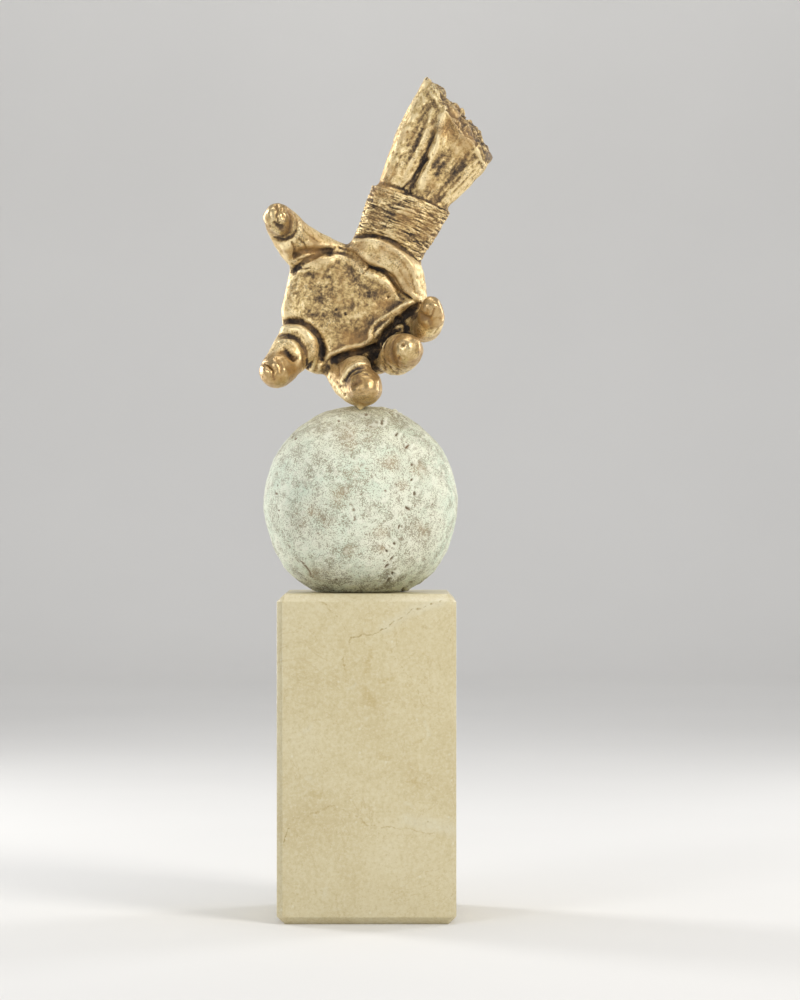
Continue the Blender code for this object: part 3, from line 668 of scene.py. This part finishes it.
def makeBronze():  # rubbed gold on the raised places, brown to black in the folds, with painted shade in the broad hollows and on the finger sides
    material, tree, shader, place = newMaterial("rubbedBronze")
    bronze = bronzeSettings
    plus, minus, times = mathOf(tree)
    relief, folds, hollows, torn, wrap, rubbed, shade = readMasks(
        tree, "fineRelief", "folds", "hollows", "torn", "wrap", "rubbed", "shade")
    turned = addNode(tree, "ShaderNodeMapping", {"Vector": place, "Rotation": (0, bronze["strandTurn"], 0)})
    strand = addNode(tree, "ShaderNodeMapping", {"Vector": turned.outputs["Vector"],
                                                 "Scale": bronze["strandScale"]})
    strands = addNoise(tree, strand.outputs["Vector"], 1.0, 2.0, 0.6, 0.4)
    calm = minus(1.0, times(rubbed, bronze["rubbedCalm"]))
    # The hollows term is partly patina lying in the hollows and partly painted shade on the hollows and the
    # sides of the fingers
    level = plus(times(relief, bronze["reliefShare"]), times(folds, bronze["foldShare"]),
                 times(hollows, bronze["hollowShare"]), bronze["levelShift"])
    noises = {}
    for name, (scale, detail, roughness, warp, share) in bronze["noises"].items():
        noises[name] = addNoise(tree, place, scale, detail, roughness, warp)
        level = plus(level, times(minus(noises[name], 0.5), share, calm))
    onStrands = times(minus(strands, bronze["strandMiddle"]), bronze["strandShare"], wrap)
    # The shade mask darkens the thick patina clouds and is painted shade on the sides of the fingers, darker
    # still on the fingertips
    clouded = times(shade, addRange(tree, noises["mottle"], 0.30, 0.62, 0.35, 1.0),
                    plus(times(rubbed, bronze["rubbedCloudDark"]), bronze["cloudDark"]))
    level = minus(plus(level, onStrands), times(torn, bronze["tornDark"]),
                  times(rubbed, bronze["rubbedDark"]), clouded)
    level = plus(times(minus(level, bronze["contrastMiddle"]), bronze["contrast"]), bronze["contrastShift"])
    amber = addRange(tree, plus(noises["cloud"], times(rubbed, bronze["rubbedAmber"])), 0.46, 0.66)
    specks = placeGroup(tree, speckleGroup, place, {"Speck Scale": 1300.0, "Patch Scale": 75.0,
                                                    "Everywhere": 0.05, "In Patches": 0.20})
    colour = layColours(tree, addRamp(tree, level, bronze["ramp"]), [
        (times(amber, bronze["amberShare"]), bronze["amber"]),
        (times(specks, bronze["speckShare"], calm), bronze["speck"]),
        (times(torn, bronze["tornShare"]), bronze["tornTint"])])
    rough = minus(addRange(tree, level, 0.25, 0.75, 0.70, 0.48), times(rubbed, 0.17))
    metal = addRange(tree, level, 0.20, 0.70, 0.30, 0.80)
    grain = placeGroup(tree, grainGroup, place, {"Fine Scale": 1500.0, "Coarse Scale": 520.0,
                                                "Coarse Share": 0.6})
    height = plus(times(grain, plus(calm, 0.1)), times(onStrands, bronze["strandBump"]))
    linkShader(tree, shader, {"Base Color": colour, "Roughness": rough, "Metallic": metal,
                              "Normal": addBump(tree, height, bronze["bump"], bronze["bumpDistance"])})
    return material


# Stitched ball

ballSettings = {
    "tilt": math.radians(15), "seamTurn": math.radians(30), "panels": 4,
    "footSpread": 0.144, "seed": 11, "smallPits": 130, "rustBehind": 26,
    "swell": [(21, 0.45, 5), (6, 0.34, 6), (2.4, 0.18, 7)],  # size, rise and seed
    "crownLump": (14, -6, 41), "crownReach": 7, "crownRise": 1.7,
    "stitchStep": 6.4,
    "seamShare": [1.0, 0.7, 0.7, 0.3],  # how plainly each seam shows, from the front one to the left one
    # Seen from the front, as x and z in millimetres from the middle of the ball
    "frontHoles": [(9.8, 36), (16.6, 30.9), (21.2, 25.1), (23.3, 17), (23.3, 10.2), (24.4, 4), (21.5, -2.7),
                   (17.5, -10.9), (15.3, -18.6), (11.8, -21.9), (13.7, -25.3), (11.3, -28.6), (13.7, -32),
                   (11.8, -34.9), (17.1, -39.7)],
    "pits": [(2.6, 39.6, 0.6, 0.7), (-9.5, 36.6, 0.5, 0.5), (11.2, 5.1, 0.5, 0.6), (32.5, -1.1, 0.45, 0.6),
             (-29.5, 29, 0.5, 0.6), (-9.9, -34.8, 0.5, 0.6), (-38, 4, 0.5, 0.6), (-36.4, -3.6, 0.45, 0.5)],
    # Cuts: a line, its half width, its depth and how brown it is
    "slit": ([(-3.2, -0.9), (-2.6, -4.4), (-2.2, -7.9)], 0.42, 0.7, 0.9),
    "leftNick": ([(-25.7, -26.2), (-23.6, -28.6), (-20.9, -32.5)], 0.38, 0.4, 0.7),
    "rustSpots": [(-22.8, -6.6, 6), (-17, -10.4, 4), (-6.5, -21.9, 4), (8.9, -14.2, 3.5), (10.3, -21, 2.6),
                  (13.7, 17.9, 4.5), (25.7, 14.6, 4), (19.4, 7.3, 2.6), (-19.9, -33.4, 4), (-8.4, 3.1, 5),
                  (-1.7, 13.6, 5), (-1.7, 29, 7), (28, -12, 3)],
}


def seamLines(places):  # distance to the nearest seam, way along it and its number, in millimetres
    tilted = places @ np.array(Matrix.Rotation(ballSettings["tilt"], 3, "X")).T
    radius = np.linalg.norm(places, axis=1)
    turn = np.arctan2(tilted[:, 1], tilted[:, 0]) + math.pi / 2 - ballSettings["seamTurn"]
    panel = 2 * math.pi / ballSettings["panels"]
    number = np.round(turn / panel)
    girth = np.hypot(tilted[:, 0], tilted[:, 1])
    along = radius * np.arctan2(tilted[:, 2], girth)
    return (turn - number * panel) * girth, along, number % ballSettings["panels"]


def ballSkin(radius):  # a round skin with finer steps along the seams
    shape = bmesh.new()
    bmesh.ops.create_icosphere(shape, subdivisions=7, radius=radius)
    near = np.abs(seamLines(np.array([vert.co for vert in shape.verts]) / mm)[0]) < 3.6
    edges = [edge for edge in shape.edges if near[edge.verts[0].index] and near[edge.verts[1].index]]
    bmesh.ops.subdivide_edges(shape, edges=edges, cuts=1, use_grid_fill=True)
    bmesh.ops.triangulate(shape, faces=[face for face in shape.faces if len(face.verts) > 3])
    for vert in shape.verts:
        vert.co = vert.co.normalized() * radius
    mesh = bpy.data.meshes.new("stitchedBall")
    shape.to_mesh(mesh)
    shape.free()
    return mesh


def stitchBall(places, draw):  # the lift of the seams, holes and cuts, and how brown they are
    offset, along, number = seamLines(places)
    way = np.stack([along, number * 40, along * 0], 1)
    offset = offset - (1.5 * noiseAt(way, 11, 3) + 0.5 * noiseAt(way, 3.5, 6))
    lift = -0.26 * bell(offset / 4.5) - 0.10 * bell(offset / 0.9)  # a shallow dip with a finer line in it
    lift += 0.28 * bell((offset - 1.6) / 1.0) * (0.25 + 2.4 * noiseAt(places, 3.2, 4))
    lift += 0.22 * bell((offset + 1.9) / 1.2) * (0.25 + 2.2 * noiseAt(places, 3.6, 9))
    lift *= np.array(ballSettings["seamShare"])[number.astype(int)]
    stain = np.zeros(len(places))
    inFront = places[:, 1] < 0
    for x, z in ballSettings["frontHoles"]:
        lean, size, tall = draw.uniform(-0.9, 0.9), draw.uniform(0.35, 0.55), draw.uniform(0.6, 1.25)
        across = (places[:, 0] - x) * math.cos(lean) + (places[:, 2] - z) * math.sin(lean)
        up = (places[:, 2] - z) * math.cos(lean) - (places[:, 0] - x) * math.sin(lean)
        hole = bell(np.hypot(up / tall, across / size), 3) * inFront
        pucker = bell(np.hypot((up - 0.8) / 1.6, (across - 1.6) / 0.9)) * inFront
        lift = lift - draw.uniform(0.8, 1.3) * hole + draw.uniform(0.4, 0.85) * pucker
        stain = np.maximum(stain, hole * draw.uniform(0.7, 1))
    for name in ("slit", "leftNick"):
        points, width, depth, tint = ballSettings[name]
        cut = bell(signedDistance(places[:, [0, 2]], curveThrough(points)) / width) * inFront
        cut *= smoothStep(noiseAt(places, 1.5, 21), -0.4, 0.1)
        lift -= depth * cut
        stain = np.maximum(stain, tint * cut)
    for seam in range(1, ballSettings["panels"]):
        onSeam = (number == seam) * ballSettings["seamShare"][seam]
        reached = -66.0
        while reached < 66:
            side = draw.uniform(-1.1, 0.5)
            size, tall = draw.uniform(0.40, 0.75), draw.uniform(0.6, 1.5)
            up, across = along - reached, offset - side
            hole = bell(np.hypot(up / tall, across / size), 3) * onSeam
            knot = bell(np.hypot((up - 1.6) / 1.1, (across - 1.4) / 0.9)) * onSeam
            lift = lift - draw.uniform(0.7, 1.3) * hole + draw.uniform(0.3, 0.7) * knot
            stain = np.maximum(stain, hole * draw.uniform(0.6, 1))
            reached += ballSettings["stitchStep"] * draw.uniform(0.55, 1.4)
    for x, z, width, depth in ballSettings["pits"]:
        hole = bell(frontGap(places, x, z) / width, 4) * (places[:, 1] <= 0)
        lift -= depth * hole
        stain = np.maximum(stain, hole)
    for _ in range(ballSettings["smallPits"]):
        spot = places[draw.randrange(len(places))]
        width = draw.uniform(0.35, 0.6)
        hole = bell(np.sqrt(((places - spot) ** 2).sum(1)) / width, 3)
        lift -= draw.uniform(0.1, 0.35) * hole
        stain = np.maximum(stain, hole * draw.uniform(0.1, 0.7))
    return lift, stain


def rustBall(places, draw):  # brown patches, placed in front and scattered behind
    rust = np.zeros(len(places))
    for x, z, size in ballSettings["rustSpots"]:
        rust = np.maximum(rust, bell(frontGap(places, x, z) / size) * (places[:, 1] < 0))
    for _ in range(ballSettings["rustBehind"]):
        spot, size = places[draw.randrange(len(places))], draw.uniform(3, 7)
        patch = bell(np.sqrt(((places - spot) ** 2).sum(1)) / size) * (places[:, 1] > 0)
        rust = np.maximum(rust, patch * draw.uniform(0.5, 1))
    return rust


def makeBallMesh():
    centre, radius, seat = ballPlaces()
    mesh = ballSkin(radius)
    places = readVectors(mesh, "co") / mm
    outward = places / np.linalg.norm(places, axis=1)[:, None]
    draw = random.Random(ballSettings["seed"])
    lift, stain = stitchBall(places, draw)
    rust = rustBall(places, draw)
    crownGap = np.linalg.norm(places - np.array(ballSettings["crownLump"]), axis=1)
    lift += noiseLift(places, ballSettings["swell"])
    lift += (ballSettings["crownRise"] * bell(crownGap / ballSettings["crownReach"])
             * np.abs(noiseAt(places, 3.0, 8)))
    places = places + outward * lift[:, None]
    low = np.clip(-places[:, 2] / (seat / mm), 0, 1)
    places[:, :2] *= (1 + ballSettings["footSpread"] * low**3)[:, None]
    places[:, 2] = np.maximum(places[:, 2], -seat / mm)
    writePoints(mesh, places * mm)
    storeRelief(mesh, [("fineRelief", 6, 0.00010), ("folds", 40, 0.0005)])
    # The foot mask carries painted shade, darkening the ball towards where it sits on the block
    for name, values in (("stain", stain), ("foot", smoothStep(low, 0.55, 1.0)), ("rust", rust),
                         ("crown", smoothStep(places[:, 2], 14, 44))):
        storeMask(mesh, name, values)
    mesh.transform(Matrix.Translation(centre))
    return mesh


patinaSettings = {
    "ramp": [(0.28, (0.57, 0.67, 0.54)), (0.46, (0.69, 0.745, 0.60)), (0.58, (0.76, 0.78, 0.63)),
             (0.76, (0.80, 0.79, 0.65))],
    "wash": (0.60, 0.62, 0.49), "crown": (0.55, 0.51, 0.33), "rust": (0.54, 0.45, 0.29),
    "speck": (0.20, 0.155, 0.080), "rustSpeck": (0.27, 0.165, 0.065), "speckShare": 0.7,
    "hollow": (0.27, 0.22, 0.15), "crest": (0.82, 0.82, 0.68), "stain": (0.17, 0.085, 0.027),
    # The foot colour and the foot speck colour are painted shade at the ball's foot
    "foot": (0.34, 0.34, 0.25), "footShadeSpeck": (0.12, 0.10, 0.07),
}


def makePatina():  # chalky pale green with brown specks, and painted shade darkening it towards the foot
    material, tree, shader, place = newMaterial("chalkyGreenPatina")
    tint = patinaSettings
    plus, minus, times = mathOf(tree)
    relief, folds, stain, foot, rust, crown = readMasks(
        tree, "fineRelief", "folds", "stain", "foot", "rust", "crown")
    wash = addNoise(tree, place, 95.0, 4.0, 0.6)
    rusty = times(rust, addRange(tree, wash, 0.36, 0.58))
    everywhere = plus(times(rusty, 0.10), 0.165, times(crown, 0.05))
    specks = placeGroup(tree, speckleGroup, place, {"Speck Scale": 1800.0, "Patch Scale": 130.0,
                                                    "Everywhere": everywhere, "In Patches": 0.13})
    footShadeSpecks = placeGroup(tree, speckleGroup, place, {"Speck Scale": 1400.0, "Patch Scale": 130.0,
                                                        "Everywhere": 0.12, "In Patches": 0.18})
    hollow = addMath(tree, "MAXIMUM", addRange(tree, relief, 0.42, 0.10), addRange(tree, folds, 0.40, 0.08))
    colour = layColours(tree, addRamp(tree, addNoise(tree, place, 42.0, 5.0, 0.6), tint["ramp"]), [
        (addRange(tree, wash, 0.48, 0.72, 0.0, 0.4), tint["wash"]), (times(crown, 0.42), tint["crown"]),
        (times(rusty, 0.30), tint["rust"]),
        (times(specks, tint["speckShare"]), addMix(tree, rusty, tint["speck"], tint["rustSpeck"])),
        (times(hollow, 0.62), tint["hollow"]), (addRange(tree, relief, 0.60, 0.95, 0.0, 0.6), tint["crest"]),
        # Painted shade: the foot colour and the dark foot specks darken the ball towards its foot
        (times(stain, 0.95), tint["stain"]), (times(foot, 0.35), tint["foot"]),
        (times(footShadeSpecks, foot, 0.8), tint["footShadeSpeck"])])
    rough = addRange(tree, specks, 0.0, 1.0, 0.84, 0.66)
    grain = placeGroup(tree, grainGroup, place, {"Fine Scale": 1700.0, "Coarse Scale": 700.0,
                                                "Coarse Share": 0.5})
    linkShader(tree, shader, {"Base Color": colour, "Roughness": rough,
                              "Normal": addBump(tree, grain, 0.6, 0.0003)})
    return material


# Marble block

blockSettings = {
    "uprightChamfer": 0.0026, "rimChamfer": 0.0034, "softEdge": 0.00025,
    # Marks on the front face, as x and z in millimetres: colour, strength, then lines and half widths
    "marks": {
        "palePatch": ((0.7, 0.68, 0.55), 0.36, [
            ([(33.5, 144.1), (21.7, 140.5), (12, 134.4), (7.8, 131.6)], 2.0), ([(17.6, 47), (30, 44.5),
            (40, 42)], 2.6), ([(-27.9, 86), (-24.5, 88)], 1.0), ([(26, 90), (27.4, 84)], 0.8),
            ([(-26.2, 65.6), (-25, 65)], 1.0), ([(-7.6, 105), (-5.4, 107)], 0.8), ([(-18.6, 13.4),
            (-18, 16.5)], 0.8), ([(0.2, 92.5), (1, 92)], 0.6), ([(17.1, 53.8), (20, 53)], 0.8)]),
        "ochrePatch": ((0.45, 0.34, 0.13), 0.42, [
            ([(2.4, 121.5), (0.6, 116.6), (-0.6, 112.4)], 1.2), ([(-0.8, 104.8), (0.8, 101.4), (3.6, 98.2)],
            1.6), ([(6, 108.4), (11.6, 109.8)], 0.9), ([(16.4, 106.6), (18.6, 106.4)], 0.8), ([(-9.6, 115.4),
            (-8.8, 113)], 0.8), ([(-28.6, 114.6), (-27.4, 112.6)], 0.7), ([(25.6, 120.4), (27.4, 118.6)],
            0.7), ([(5, 75.4), (10, 74.6)], 1.3), ([(20.4, 80.6), (25.4, 82.8)], 0.7), ([(-24.6, 58.6),
            (-20, 57.6)], 1.3), ([(-2.4, 45.6), (0, 45.2)], 0.6), ([(19, 64), (24, 62.4)], 1.2)]),
        "ochreLine": ((0.4, 0.29, 0.11), 0.62, [
            ([(-33.5, 47.1), (-28, 48.2), (-15.8, 52.7), (-5.8, 49.9), (-0.2, 44.9), (17.6, 42.2), (30, 41)],
            0.35), ([(-6.9, 128.9), (-8, 124.9), (-10.2, 118.2), (-9.1, 112.7)], 0.35), ([(-20.2, 143.8),
            (-13.5, 137.1), (-8.6, 131.4)], 0.3), ([(3.8, 129.8), (6.5, 129.3), (15.1, 115.6), (21.1, 107.6),
            (26.4, 96)], 0.22)]),
        "darkVein": ((0.32, 0.23, 0.07), 0.85, [
            ([(33.5, 144.1), (29, 143)], 0.35), ([(27, 142.4), (21.7, 140.5), (14, 135.6), (7.8, 131.6)],
            0.22), ([(7.8, 131.6), (3.8, 129.8), (-3, 128.4), (-6.9, 128)], 0.4), ([(-33.5, 44.9),
            (-36.3, 36.6)], 0.25), ([(22.6, 141), (23.2, 141.2)], 0.5), ([(37.1, 126), (37.2, 126.2)], 0.35),
            ([(37.3, 138.7), (37.4, 138.9)], 0.3), ([(27.3, 45.8), (27.5, 46)], 0.35)]),
    },
}


def makeBlockMesh():
    low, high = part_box("marble_block")
    size = high - low
    shape = bmesh.new()
    bmesh.ops.create_cube(shape, size=1)
    bmesh.ops.scale(shape, vec=size, verts=shape.verts)
    bmesh.ops.translate(shape, vec=(low + high) / 2, verts=shape.verts)
    upright = [e for e in shape.edges if abs(e.verts[0].co.z - e.verts[1].co.z) > size.z / 2]
    bmesh.ops.bevel(shape, geom=upright, offset=blockSettings["uprightChamfer"], segments=1, profile=0.5,
                    affect="EDGES", material=-1)
    rims = [e for e in shape.edges if abs(e.verts[0].co.z - e.verts[1].co.z) < size.z / 2]
    bmesh.ops.bevel(shape, geom=rims, offset=blockSettings["rimChamfer"], segments=1, profile=0.5,
                    affect="EDGES", material=-1)
    bmesh.ops.bevel(shape, geom=shape.edges[:], offset=blockSettings["softEdge"], segments=2, profile=0.5,
                    affect="EDGES", material=-1)
    bmesh.ops.recalc_face_normals(shape, faces=shape.faces)
    mesh = bpy.data.meshes.new("creamMarbleBlock")
    shape.to_mesh(mesh)
    shape.free()
    return mesh


marbleSettings = {
    "ramp": [(0.30, (0.545, 0.455, 0.255)), (0.46, (0.585, 0.505, 0.30)), (0.60, (0.62, 0.545, 0.34)),
             (0.76, (0.64, 0.57, 0.375))],
    "paleMottle": (0.70, 0.65, 0.48), "darkMottle": (0.46, 0.38, 0.20),
    "darkGrit": (0.45, 0.35, 0.16), "paleGrit": (0.74, 0.69, 0.53),
    "faintVein": (0.45, 0.34, 0.15), "fleck": (0.72, 0.69, 0.56),
    "veinWander": 0.0045, "veinSpread": 1.8,
}


def makeMarble():  # honed cream stone, fine grained, with ochre veins
    material, tree, shader, place = newMaterial("creamMarble")
    tint = marbleSettings
    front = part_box("marble_block")[0].y
    wander = addNode(tree, "ShaderNodeTexNoise", {"Vector": place, "Scale": 240.0, "Detail": 4.0})
    shift = addVector(tree, "SUBTRACT", wander.outputs["Color"], (0.5, 0.5, 0.5))
    shift = addVector(tree, "SCALE", shift, scale=tint["veinWander"])
    bent = addVector(tree, "ADD", place, shift)
    mottle = addNoise(tree, place, 480.0, 4.0, 0.8)
    grit = addNoise(tree, place, 1000.0, 2.0, 0.6)
    faint = addMath(tree, "SUBTRACT", addNoise(tree, place, 17.0, 6.0, 0.62, 1.4), 0.5)
    faint = addMath(tree, "ABSOLUTE", faint)
    flecks = addNode(tree, "ShaderNodeTexVoronoi", {"Vector": place, "Scale": 130.0}).outputs["Distance"]
    colour = layColours(tree, addRamp(tree, addNoise(tree, place, 24.0, 5.0, 0.62, 0.8), tint["ramp"]), [
        (addRange(tree, mottle, 0.45, 0.75, 0.0, 0.6), tint["paleMottle"]),
        (addRange(tree, mottle, 0.50, 0.25, 0.0, 0.55), tint["darkMottle"]),
        (addRange(tree, grit, 0.58, 0.74, 0.0, 0.45), tint["darkGrit"]),
        (addRange(tree, grit, 0.42, 0.28, 0.0, 0.35), tint["paleGrit"]),
        (addRange(tree, faint, 0.007, 0.0, 0.0, 0.32), tint["faintVein"]),
        (addRange(tree, flecks, 0.11, 0.03, 0.0, 0.5), tint["fleck"])])
    for markTint, strength, lines in blockSettings["marks"].values():
        strokes = [placeGroup(tree, veinGroup, bent, {
            "From": (x0 * mm, front, z0 * mm), "To": (x1 * mm, front, z1 * mm),
            "Half Width": width * mm * tint["veinSpread"]})
            for points, width in lines for (x0, z0), (x1, z1) in zip(points, points[1:])]
        mask = addMath(tree, "MAXIMUM", *strokes)
        patchy = addRange(tree, grit, 0.34, 0.60, 0.25 * strength, strength)
        mask = addMath(tree, "MULTIPLY", addRange(tree, mask, 0.0, 0.9), patchy)
        colour = addMix(tree, mask, colour, markTint)
    rough = addRange(tree, mottle, 0.3, 0.7, 0.38, 0.27)
    grain = placeGroup(tree, grainGroup, place, {"Fine Scale": 900.0, "Coarse Scale": 160.0,
                                                "Coarse Share": 0.4})
    linkShader(tree, shader, {"Base Color": colour, "Roughness": rough,
                              "Normal": addBump(tree, grain, 0.10, 0.0002)})
    return material


# Studio

studioSettings = {
    "cameraPlace": (0.0149, -1.540, 0.1889), "lens": 121.5, "sensor": 36,
    "floorColour": (0.74, 0.73, 0.71), "airColour": (0.86, 0.87, 0.90), "airStrength": 0.34,
    "lights": [  # name, place, aim, width and height, watts, colour
        ("keyRight", (0.92, -0.86, 0.80), (0, 0, 0.2), (0.45, 0.60), 11.2, (1.0, 0.97, 0.93)),
        ("fillLeft", (-0.78, -0.98, 0.50), (0, 0, 0.2), (0.40, 0.70), 4.9, (0.96, 0.98, 1.0)),
        ("overhead", (0.0, -0.05, 1.30), (0, 0, 0.3), (0.70, 0.50), 4.0, (1.0, 1.0, 1.0)),
        ("rimLeft", (-0.80, 0.55, 0.45), (0, 0, 0.25), (0.30, 0.80), 6.5, (1.0, 1.0, 1.0)),
        ("rimRight", (0.80, 0.55, 0.45), (0, 0, 0.25), (0.30, 0.80), 4.0, (1.0, 1.0, 1.0)),
        ("paperLight", (0.0, 1.10, 1.90), (0, 2.5, 0.9), (1.80, 0.50), 17.0, (1.0, 1.0, 1.0)),
    ],
}


def addStudio():
    scene = bpy.context.scene
    camera = bpy.data.objects.new("camera", bpy.data.cameras.new("camera"))
    scene.collection.objects.link(camera)
    camera.location = studioSettings["cameraPlace"]
    camera.rotation_euler = (math.pi / 2, 0, 0)
    camera.data.lens = studioSettings["lens"]
    camera.data.sensor_width = studioSettings["sensor"]
    scene.camera = camera
    for name, place, aim, (wide, tall), watts, colour in studioSettings["lights"]:
        light = bpy.data.lights.new(name, "AREA")
        light.shape = "RECTANGLE"
        light.size = wide
        light.size_y = tall
        light.energy = watts
        light.color = colour
        lamp = bpy.data.objects.new(name, light)
        lamp.location = place
        lamp.rotation_euler = (Vector(aim) - Vector(place)).to_track_quat("-Z", "Y").to_euler()
        scene.collection.objects.link(lamp)
    world = bpy.data.worlds.new("studioAir")
    world.use_nodes = True
    air = world.node_tree.nodes["Background"]
    air.inputs["Color"].default_value = (*studioSettings["airColour"], 1)
    air.inputs["Strength"].default_value = studioSettings["airStrength"]
    scene.world = world
    scene.view_settings.view_transform = "Standard"


def addFloor():  # a pale sheet that runs back and curves up behind
    shape = bmesh.new()
    bmesh.ops.create_grid(shape, x_segments=1, y_segments=1, size=3.0)
    bmesh.ops.translate(shape, vec=(0, -1.0, 0), verts=shape.verts)
    back = [e for e in shape.edges if all(v.co.y > 0 for v in e.verts)]
    bmesh.ops.spin(shape, geom=back, cent=(0, 2.0, 0.6), axis=(1, 0, 0), dvec=(0, 0, 0), angle=math.pi / 2,
                   steps=16, use_merge=False)
    top = [e for e in shape.edges if all(v.co.z > 0.55 for v in e.verts)]
    risen = bmesh.ops.extrude_edge_only(shape, edges=top)["geom"]
    bmesh.ops.translate(shape, vec=(0, 0, 2.5), verts=[g for g in risen if isinstance(g, bmesh.types.BMVert)])
    mesh = bpy.data.meshes.new("paperSweep")
    shape.to_mesh(mesh)
    shape.free()
    mesh.shade_smooth()
    material, tree, shader, place = newMaterial("palePaper")
    shade = addRamp(tree, addNoise(tree, place, 3.0, 3.0), [
        (0.3, tuple(share * 0.97 for share in studioSettings["floorColour"])),
        (0.7, studioSettings["floorColour"])])
    linkShader(tree, shader, {"Base Color": shade})
    shader.inputs["Roughness"].default_value = 0.85
    mesh.materials.append(material)
    sweep = bpy.data.objects.new("paperSweep", mesh)
    bpy.context.scene.collection.objects.link(sweep)


addStudio()
addFloor()
print("studio ready")
addPiece("creamMarbleBlock", makeBlockMesh(), "marble_block", makeMarble(), 25)
print("marble block ready")
addPiece("stitchedBall", makeBallMesh(), "ball", makePatina())
print("ball ready")
addPiece("bronzeHand", makeHandMesh(), "hand", makeBronze(), 75)
print("hand ready")
for piece in bpy.data.objects:
    if piece.type == "MESH" and "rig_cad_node" not in piece:
        print(piece.name, sum(len(face.vertices) - 2 for face in piece.data.polygons), "triangles")
